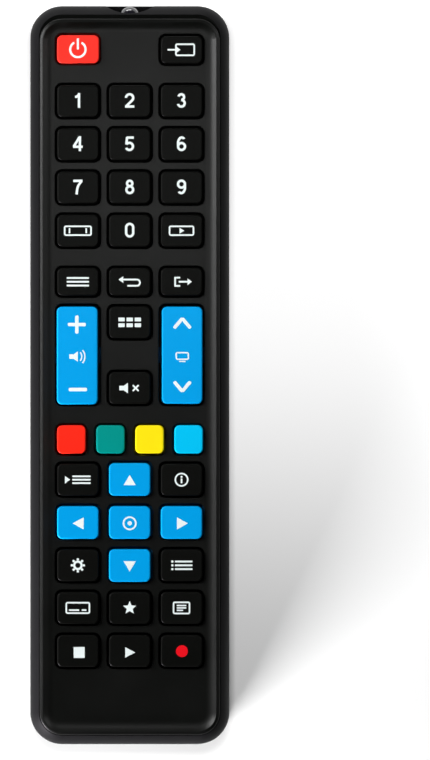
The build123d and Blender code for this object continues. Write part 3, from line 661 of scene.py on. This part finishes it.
def rear_housing():
    """Rear moulding with its lip, battery bay, screw seats, board posts and the cover's recess."""
    shell = piece("rear_shell_moulding", rear_form(), "rear_shell")
    lip = (WIDTH - 2 * LIP_INSET, LENGTH - 2 * LIP_INSET, CORNER - LIP_INSET)
    carve(shell, block(*lip, PARTING - 1, LIP_TOP), "UNION")
    inner = (WIDTH - 2 * HOLLOW_INSET, LENGTH - 2 * HOLLOW_INSET, CORNER - HOLLOW_INSET)
    hollow = piece("tool_hollow", block(*inner, HOLLOW_LOW, LIP_TOP + 0.8))
    cover_floor = between(-30, 30, -LENGTH / 2 - 5, COVER_TOP_Y + BAY_WALL, 0, TAIL_FLOOR)
    carve(hollow, cover_floor, "DIFFERENCE")
    carve_with(shell, hollow, "DIFFERENCE")
    boss_notch = between(-4.9, 4.9, LENGTH / 2 - 5.2, LENGTH / 2 - 2.1, PARTING + 0.002, 15)
    carve(shell, boss_notch, "DIFFERENCE")

    bay_side = BAY_HALF + BAY_WALL
    bay = between(-bay_side, bay_side, BAY_BOTTOM_Y - BAY_WALL, BAY_TOP_Y + BAY_WALL,
                  RECESS_TOP, BAY_CEILING)
    screw_seats = [block(BOSS, BOSS, 0.5, RECESS_TOP, BOSS_TOP, side * SCREW_X, SCREW_Y, 4)
                   for side in (-1, 1)]
    board_posts = [block(BOARD_POST, BOARD_POST, 0.3, 1.0, LIP_TOP, side * 12.0, y, 3)
                   for side in (-1, 1) for y in BOARD_POST_Y]
    for wall in (bay, *screw_seats, *board_posts):
        carve(shell, wall, "UNION")

    for side in (-1, 1):
        leg_slot = between(side * CELL_X - 1.2, side * CELL_X + 1.2, BAY_TOP_Y - 0.6, BAY_TOP_Y + 0.6,
                           CELL_Z - 0.05, 15)
        carve(shell, leg_slot, "DIFFERENCE")
    carve(shell, between(-BAY_HALF, BAY_HALF, BAY_BOTTOM_Y, BAY_TOP_Y, 0, CELL_Z), "DIFFERENCE")
    for side in (-1, 1):
        carve(shell, rod(CELL_BORE, BAY_BOTTOM_Y, BAY_TOP_Y, side * CELL_X, CELL_Z, 64), "DIFFERENCE")
        carve(shell, post(HEAD_HOLE, -1, 3.5, side * SCREW_X, SCREW_Y), "DIFFERENCE")
        carve(shell, post(SHANK_HOLE, -1, 6, side * SCREW_X, SCREW_Y), "DIFFERENCE")
    for end, side in ((BAY_TOP_Y, -1), (BAY_BOTTOM_Y, 1)):
        reach = sorted((end, end + side * CONTACT_DEPTH))
        contact_slot = between(-CONTACT_HALF, CONTACT_HALF, *reach, RECESS_TOP, CONTACT_TOP)
        carve(shell, contact_slot, "DIFFERENCE")

    open_end, head = -LENGTH / 2 - 1, COVER_TOP_Y + COVER_PLAY
    half = COVER_HALF + COVER_PLAY
    carve(shell, between(-half, half, open_end, head, -1, RECESS_TOP), "DIFFERENCE")
    carve(shell, between(-RAIL_HALF, RAIL_HALF, open_end, head, RAIL_LOW, RECESS_TOP), "DIFFERENCE")
    finish_piece(shell, "housing", "rear_housing")


def battery_cover():
    """Sliding lid cut from the rear form, with rails along its sides and a ribbed thumb grip."""
    cover = piece("battery_cover_moulding", rear_form(), "rear_shell")
    lid = between(-COVER_HALF, COVER_HALF, -LENGTH / 2 - 1, COVER_TOP_Y, -1, COVER_THICK)
    carve(cover, lid, "INTERSECT")
    tongues = between(-TONGUE_HALF, TONGUE_HALF, -LENGTH / 2 + 4, COVER_TOP_Y, TONGUE_LOW, COVER_THICK)
    carve(cover, tongues, "UNION")
    grip_y = COVER_TOP_Y - 9.0
    carve(cover, block(GRIP_ACROSS, GRIP_ALONG, GRIP_CORNER, -0.3, 0.7, 0, grip_y, 16), "DIFFERENCE")
    for row in range(-2, 3):
        rib_y = grip_y + row * GRIP_ALONG / 6
        carve(cover, moved(turned(rod(RIB, -3.5, 3.5, 0, RIB, 16), 90), 0, rib_y, 0.02), "UNION")
        carve(cover, between(-3.3, 3.3, rib_y - 0.3, rib_y + 0.3, 0.4, 0.75), "UNION")
    finish_piece(cover, "battery_cover", "battery_cover")


def lathe(profile, segments=48):
    """Closed round form from (radius, height) places, turned about Z."""
    mesh = bmesh.new()
    verts = [mesh.verts.new((radius, 0, height)) for radius, height in profile]
    edges = [mesh.edges.new(ends) for ends in zip(verts, verts[1:])]
    bmesh.ops.spin(mesh, geom=verts + edges, cent=(0, 0, 0), axis=(0, 0, 1), angle=math.tau,
                   steps=segments, use_merge=True)
    bmesh.ops.remove_doubles(mesh, verts=mesh.verts, dist=1e-4)
    bmesh.ops.recalc_face_normals(mesh, faces=mesh.faces)
    return mesh


def infrared_light():
    """Dark glossy lens with a flange at its foot, on two leads."""
    radius, straight, flange = 2.5, 6.1, 2.9
    dome = [(radius * math.cos(t), straight + radius * math.sin(t)) for t in quarter(12)]
    mesh = lathe([(0, 0), (flange, 0), (flange, 1.0), (radius, 1.0), *dome[:-1], (0, straight + radius)])
    moved(turned(mesh, -90, "X"), 0, LIGHT_FOOT_Y, LIGHT_Z)
    leads = [between(side * 1.27 - 0.25, side * 1.27 + 0.25, 80.9, 84.2, 14.9, 15.4) for side in (-1, 1)]
    lens = piece("infrared_lens", gather([mesh, *leads]), "light_lens")
    finish_piece(lens, "housing", "ir_led")


def cells():
    """Two cans that lie head to foot: a wrap, a band at the plus end, and bare ends."""
    can = [(0, 0), (3.6, 0), (3.8, 0.25), (4.75, 0.3), (4.9, 0.35), (5.05, 0.4), (5.2, 0.75), (5.2, 31.0),
           (5.2, 42.5), (5.05, 42.95), (4.6, 43.1), (4.3, 43.2), (2.0, 43.2), (1.8, 43.3), (1.8, 43.85),
           (1.65, 44.0), (0, 44.0)]
    for name, side in (("cell_left", -1), ("cell_right", 1)):
        mesh = lathe(can, 56)
        for face in mesh.faces:
            middle = face.calc_center_median()
            bare = math.hypot(middle.x, middle.y) < 4.6
            face.material_index = 2 if bare else int(middle.z > 31.0)
        low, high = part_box(name)
        foot = (high.y if side > 0 else low.y) / MM
        moved(turned(mesh, 90 * side, "X"), side * CELL_X, foot, CELL_Z)
        made = piece(name + "_can", mesh, "cell_wrap", "cell_band", "plated_metal")
        finish_piece(made, "housing", name)


# Keys


def raise_cap(mesh, top):
    """Skirt, drafted sides and rounded top edge, from the flange up."""
    step(mesh, top, 0, SKIRT)
    height = KEY_TOP - FLANGE_TOP - SKIRT - KEY_EDGE
    step(mesh, top, height * math.tan(math.radians(KEY_DRAFT)), height)
    round_over(mesh, top, KEY_EDGE, 4)


def plunger(x, y):
    """Foot that goes through the mat to the board."""
    return block(*PLUNGER, PLUNGER_LOW, FLANGE_LOW + 0.1, x, y, 3)


def key_cap(x, y, across, along):
    """Cap on its flange and plunger."""
    mesh = block(across + 2 * FLANGE_REACH, along + 2 * FLANGE_REACH, FLANGE_CORNER, FLANGE_LOW, FLANGE_TOP,
                 x, y, 6)
    top = top_of(mesh)
    step(mesh, top, FLANGE_REACH, 0)
    raise_cap(mesh, top)
    return gather([mesh, plunger(x, y)])


def rocker_cap(x, y, across, along):
    """Long cap with two tabs, a plunger under each end and a ridge under its middle."""
    mesh = block(across, along, KEY_CORNER, FLANGE_LOW, FLANGE_TOP, x, y, 6)
    raise_cap(mesh, top_of(mesh))
    tabs_across = across + 2 * FLANGE_REACH
    tabs = block(tabs_across, ROCKER_TAB, 0.4, FLANGE_LOW + 0.05, FLANGE_LOW + 0.8, x, y, 3)
    ridge = block(5.0, 1.2, 0, 16.1, FLANGE_LOW + 0.1, x, y)
    foot = bottom_of(ridge)
    bmesh.ops.scale(ridge, vec=(1, 0.15, 1), verts=foot.verts, space=Matrix.Translation((0, -y, 0)))
    return gather([mesh, tabs, ridge, plunger(x, y - ROCKER_PLUNGER_Y), plunger(x, y + ROCKER_PLUNGER_Y)])


def cap_reach(name):
    """How far a cap's left, right, lower and upper side stand out past its solid, in mm."""
    if name in ("up_key", "down_key", "left_key", "right_key", "ok_key"):
        return 0, 0, 0.3, -0.08
    if name in ("red_key", "green_key", "yellow_key", "cyan_key"):
        return 0, 0.17, 0, 0.13
    return {"power_key": (0, 0.12, 0.13, 0), "volume_rocker": (0.08, -0.22, 0.12, -0.18),
            "channel_rocker": (-0.27, 0.05, -0.05, -0.18)}.get(name, (0, 0, 0, 0))


def slots_of_nodes():
    """Each node's material slot, from the record."""
    return {row["node"]: row["material_slot"] for row in frame["record"]["subparts"]}


def all_keys():
    """Every key's cap, stretched above its flange by its reach, with a skirt painted darker as shade."""
    slots = slots_of_nodes()
    for name, x, y, across, along in KEYS:
        make = rocker_cap if name.endswith("_rocker") else key_cap
        mesh = make(x, y, across, along)
        left, right, lower, upper = cap_reach(name)
        for vert in mesh.verts:
            if vert.co.z > FLANGE_TOP + 0.01:
                vert.co.x += right if vert.co.x > x else -left
                vert.co.y += upper if vert.co.y > y else -lower
        cap = piece(name + "_cap", mesh, slots[name], slots[name] + "_skirt")
        # Faces near the flange take the skirt finish: painted shade where the cap sits deep in its window.
        for face in cap.data.polygons:
            face.material_index = int(face.center.z < (FLANGE_TOP + 0.3) * MM)
        finish_piece(cap, name, name)


# Legends: flat printed strokes round the middle of their key, in millimetres and degrees.


def bar(x, y, across, along, turn=0.0, corner=0.12):
    """Oblong with rounded corners, turned about its middle."""
    mesh = bmesh.new()
    bmesh.ops.create_grid(mesh, x_segments=1, y_segments=1, size=0.5)
    bmesh.ops.scale(mesh, vec=(across, along, 1), verts=mesh.verts)
    bmesh.ops.bevel(mesh, geom=mesh.verts[:], offset=corner, offset_type="OFFSET", segments=3,
                    profile=0.5, affect="VERTICES", material=-1)
    return moved(turned(mesh, turn), x, y)


def disc(x, y, radius, sides=32):
    """Filled circle."""
    mesh = bmesh.new()
    bmesh.ops.create_circle(mesh, cap_ends=True, radius=radius, segments=sides)
    return moved(mesh, x, y)


def arc(x, y, radius, stroke, start=0.0, sweep=360.0):
    """Part of a ring, anticlockwise from start."""
    mesh = bmesh.new()
    ends = [mesh.verts.new((reach, 0, 0)) for reach in (radius - stroke, radius)]
    radial = mesh.edges.new(ends)
    turned(mesh, start)
    bmesh.ops.spin(mesh, geom=[*ends, radial], cent=(0, 0, 0), axis=(0, 0, 1), angle=math.radians(sweep),
                   steps=max(8, round(sweep / 9)), use_merge=sweep >= 360)
    return moved(mesh, x, y)


def arrow(x, y, half_width, height, turn=0.0):
    """Triangle that points along +Y before it is turned, with its middle at the place."""
    mesh = bmesh.new()
    corners = [(-half_width, -height / 2, 0), (half_width, -height / 2, 0), (0, height / 2, 0)]
    mesh.faces.new([mesh.verts.new(corner) for corner in corners])
    return moved(turned(mesh, turn), x, y)


def outline(x, y, across, along, stroke, corner=0.35):
    """Rounded frame, drawn with the pen."""
    wide, tall = across - stroke - 2 * corner, along - stroke - 2 * corner
    side = [("go", tall), ("turn", corner, 90), ("go", wide), ("turn", corner, 90)]
    return pen(x + across / 2 - stroke / 2, y - tall / 2, 90, side + side, stroke)


def star(x, y, radius):
    """Five-pointed star."""
    mesh = disc(0, 0, radius, 10)
    points = [(v, (math.degrees(math.atan2(v.co.y, v.co.x)) - 90) / 72) for v in mesh.verts]
    inner = [v for v, place in points if abs(place - round(place)) > 0.1]
    bmesh.ops.scale(mesh, vec=(0.45, 0.45, 1), verts=inner)
    return moved(mesh, x, y)


def chevron(x, y, up):
    """Two round-ended strokes that meet in a point, up for 1 and down for -1."""
    return [(bar, x + up * side, y - up * 1.28, 3.35, 0.84, -side * 50, 0.34) for side in (-1, 1)]


def plus(x, y, half, stroke):
    """Two round-ended strokes that cross."""
    return [(bar, x, y, 2 * half, stroke, 0, 0.3), (bar, x, y, stroke, 2 * half, 0, 0.3)]


def speaker(x, y):
    """Box and horn of the sound marks."""
    return [(bar, x - 0.95, y, 0.9, 1.15, 0, 0.05), (arrow, x - 0.2, y, 1.3, 1.9, 90)]


def gear():
    """Ring with eight teeth."""
    teeth = [math.radians(45 * i) for i in range(8)]
    return [(arc, 0, 0, 1.2, 0.55)] + [
        (bar, 1.5 * math.cos(tooth), 1.5 * math.sin(tooth), 0.55, 0.55, math.degrees(tooth))
        for tooth in teeth]


def pen(x, y, heading, moves, nib=1.62):
    """A printed stroke of even width: each move goes straight on or turns about a centre."""
    mesh = bmesh.new()
    side = Matrix.Rotation(math.radians(heading), 3, "Z") @ Vector((0, nib / 2, 0))
    ends = [mesh.verts.new(Vector((x, y, 0)) + side), mesh.verts.new(Vector((x, y, 0)) - side)]
    tip = [*ends, mesh.edges.new(ends)]
    for move in moves:
        along = Matrix.Rotation(math.radians(heading), 3, "Z") @ Vector((1, 0, 0))
        if move[0] == "go":
            made = bmesh.ops.extrude_edge_only(mesh, edges=[tip[2]])["geom"]
            verts = [part for part in made if isinstance(part, bmesh.types.BMVert)]
            bmesh.ops.translate(mesh, vec=along * move[1], verts=verts)
            tip = [*verts, mesh.edges.get(verts)]
            continue
        radius, turn = move[1:]
        middle = sum((v.co for v in tip[:2]), Vector()) / 2
        left = Vector((-along.y, along.x, 0))
        centre = middle + left * math.copysign(radius, turn)
        made = bmesh.ops.spin(mesh, geom=tip, cent=centre, axis=(0, 0, 1), angle=math.radians(turn),
                              steps=max(4, round(abs(turn) / 12)))
        verts = [part for part in made["geom_last"] if isinstance(part, bmesh.types.BMVert)]
        edge = [part for part in made["geom_last"] if isinstance(part, bmesh.types.BMEdge)][0]
        tip = [*verts, edge]
        heading += turn
    bmesh.ops.remove_doubles(mesh, verts=mesh.verts, dist=1e-4)
    return mesh


def figure_strokes(figure):
    """The pen's strokes for a figure that is ten units high, from its foot."""
    hook = [(-2.3, 3.1, 90, [("go", 2.55), ("turn", 4.2, -45), ("turn", 1.75, -110)]),
            (2.32, 3.12, 90, [("turn", 2.31, 360)])]
    return {
        "0": [(2.35, 5, 90, [("go", 1.84), ("turn", 2.35, 180), ("go", 3.68), ("turn", 2.35, 180),
                             ("go", 1.84)])],
        "1": [(0.75, 0, 90, [("go", 10)]), (-1.9, 7.35, 5, [("go", 0.5), ("turn", 2.1, 66)])],
        "2": [(-2.45, 6.75, 90, [("turn", 2.4, -225), ("go", 5.9)]), (-3.1, 0.925, 0, [("go", 6.2)])],
        "3": [(-1.95, 7.7, 75, [("turn", 1.87, -255)]), (-0.1, 5.3, 0, [("turn", 2.22, -258)])],
        "4": [(1.35, 0, 90, [("go", 10)]), (-3.2, 2.95, 0, [("go", 6.4)]),
              (-2.75, 3.1, 58.5, [("go", 7.3)])],
        "5": [(-1.95, 9.075, 0, [("go", 4.7)]), (-1.75, 9.4, -96, [("go", 4.9)]),
              (-2.23, 4.45, 58, [("turn", 2.38, -303)])],
        "6": hook,
        "7": [(-3.1, 9.075, 0, [("go", 6.2)]),
              (2.45, 8.9, -128, [("go", 1.7), ("turn", 9, 30), ("go", 3.3)])],
        "8": [(1.8, 7.35, 90, [("turn", 1.78, 360)]), (2.3, 3.15, 90, [("turn", 2.25, 360)])],
        "9": hook,
    }[figure]


def digit(figure):
    """A printed figure, a little above the middle of its key. The nine is the six turned round."""
    made = [pen(*stroke) for stroke in figure_strokes(figure)]
    size = FIGURE_HEIGHT / 10
    for mesh in made:
        turned(moved(mesh, 0, -5), 180 if figure == "9" else 0)
        bmesh.ops.scale(mesh, vec=(size, size, 1), verts=mesh.verts)
        moved(mesh, 0, FIGURE_RAISED)
    return made


# Each mark is a list of strokes: what draws it, its place and its sizes.
MARKS = {
    "power_key": [(arc, 0, -0.12, 2.2, 0.54, 118, 304), (bar, 0, 1.28, 0.54, 2.8)],
    "input_key": [(outline, 0.9, 0, 5.0, 3.2, 0.42), (bar, -2.3, 0, 2.4, 0.42),
                  (arrow, -0.75, 0, 0.75, 1.0, -90)],
    "ratio_key": [(outline, 0, 0, 7.0, 2.6, 0.4), (bar, -2.1, 0, 0.4, 1.3), (bar, 2.1, 0, 0.4, 1.3)],
    "media_key": [(outline, 0, 0, 6.4, 2.6, 0.4), (arrow, 0.1, 0, 0.72, 1.2, -90)],
    "menu_key": [(bar, 0, y, 5.6, 0.45) for y in (0.95, 0, -0.95)],
    "back_key": [(arrow, -2.2, 0.55, 0.85, 1.2, 90), (bar, 0.1, 0.55, 3.4, 0.45),
                 (arc, 1.8, -0.22, 1.0, 0.45, -90, 180), (bar, 0.6, -1.0, 2.4, 0.45)],
    "exit_key": [(bar, -1.6, 0, 0.45, 2.5), (bar, -0.85, 1.03, 1.05, 0.45),
                 (bar, -0.85, -1.03, 1.05, 0.45), (bar, 0.4, 0, 2.2, 0.45),
                 (arrow, 2.05, 0, 0.85, 1.1, -90)],
    "guide_key": [(bar, 2.05 * i, 0.72 * j, 1.6, 0.95) for i in (-1, 0, 1) for j in (-1, 1)],
    "mute_key": speaker(-1.2, 0) + [(bar, 1.5, 0, 2.1, 0.42, turn) for turn in (45, -45)],
    "quick_menu_key": [(arrow, -2.6, 0, 0.95, 1.3, -90),
                       *((bar, 0.9, y, 4.6, 0.42) for y in (0.85, 0, -0.85))],
    "info_key": [(arc, 0, 0, 1.75, 0.4), (disc, 0, 0.72, 0.27, 16), (bar, 0, -0.28, 0.45, 1.2)],
    "tools_key": gear(),
    "list_key": [stroke for row in (-1, 0, 1) for stroke in
                 ((disc, -2.3, 0.95 * row, 0.3, 16), (bar, 0.55, 0.95 * row, 4.4, 0.45))],
    "subtitle_key": [(outline, 0, 0, 6.2, 3.0, 0.4), (bar, -0.95, -0.55, 2.6, 0.4),
                     (bar, 1.55, -0.55, 1.2, 0.4)],
    "favourite_key": [(star, 0, 0, 1.75)],
    "text_key": [(outline, 0, 0, 4.4, 3.2, 0.4), (bar, 0, 0.6, 2.4, 0.36), (bar, 0, 0, 2.4, 0.36),
                 (bar, -0.4, -0.6, 1.6, 0.36)],
    "up_key": [(arrow, 0, -0.33, 1.55, 2.58)],
    "down_key": [(arrow, 0, -0.37, 1.55, 2.58, 180)],
    "left_key": [(arrow, 0.07, -0.4, 1.52, 2.76, 90)],
    "right_key": [(arrow, 0.24, -0.4, 1.52, 2.76, -90)],
    "ok_key": [(arc, 0, -0.37, 1.75, 0.42), (disc, 0, -0.37, 0.55, 24)],
    "stop_key": [(bar, 0.33, -0.38, 2.75, 2.75, 0, 0.05)],
    "play_key": [(arrow, 0.14, -0.37, 1.3, 2.5, -90)],
    "record_key": [(disc, 0.1, -0.05, 1.5, 40)],
    "volume_rocker": [*plus(-0.25, 7.64, 2.27, 0.86), (bar, 0, -8.67, 4.6, 0.88, 0, 0.3),
                      *speaker(-0.75, -0.4),
                      *((arc, -0.6, -0.4, radius, 0.32, -42, 84) for radius in (1.75, 2.55))],
    "channel_rocker": [*chevron(0.2, 9.25, 1), *chevron(0.2, -9.2, -1),
                       (outline, 0.2, -0.25, 3.4, 2.0, 0.35), (bar, 0.2, -1.6, 1.6, 0.3)],
}


def all_legends():
    """Prints each key's mark as a thin closed layer that is sunk a little into its top."""
    for name, x, y, _, _ in KEYS:
        if name.startswith("key_"):
            marks = digit(name[-1])
        else:
            marks = [draw(*sizes) for draw, *sizes in MARKS.get(name, [])]
        if not marks:
            continue
        mesh = gather([moved(mark, 0, 0, LAYER * layer) for layer, mark in enumerate(marks)])
        moved(mesh, x, y, KEY_TOP - PRINT_SUNK)
        for face in mesh.faces:
            if face.normal.z < 0:
                face.normal_flip()
        made = bmesh.ops.extrude_face_region(mesh, geom=mesh.faces[:], use_keep_orig=True)
        raised = [part for part in made["geom"] if isinstance(part, bmesh.types.BMVert)]
        bmesh.ops.translate(mesh, vec=(0, 0, PRINT_HEIGHT), verts=raised)
        bmesh.ops.recalc_face_normals(mesh, faces=mesh.faces)
        legend = piece(name + "_legend", mesh, "red_ink" if name == "record_key" else "ink")
        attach(legend, name)


# Inner parts


def dress_nodes():
    """Gives every CAD node its slot's finish."""
    slots = slots_of_nodes()
    for name, node in frame["nodes"].items():
        node.data.materials.clear()
        node.data.materials.append(FINISH.get(slots[name], FINISH["chip_body"]))


studio_camera()
studio_world()
stage_floor()
studio_lights()
dress_nodes()
front_housing()
rear_housing()
battery_cover()
infrared_light()
cells()
all_keys()
all_legends()
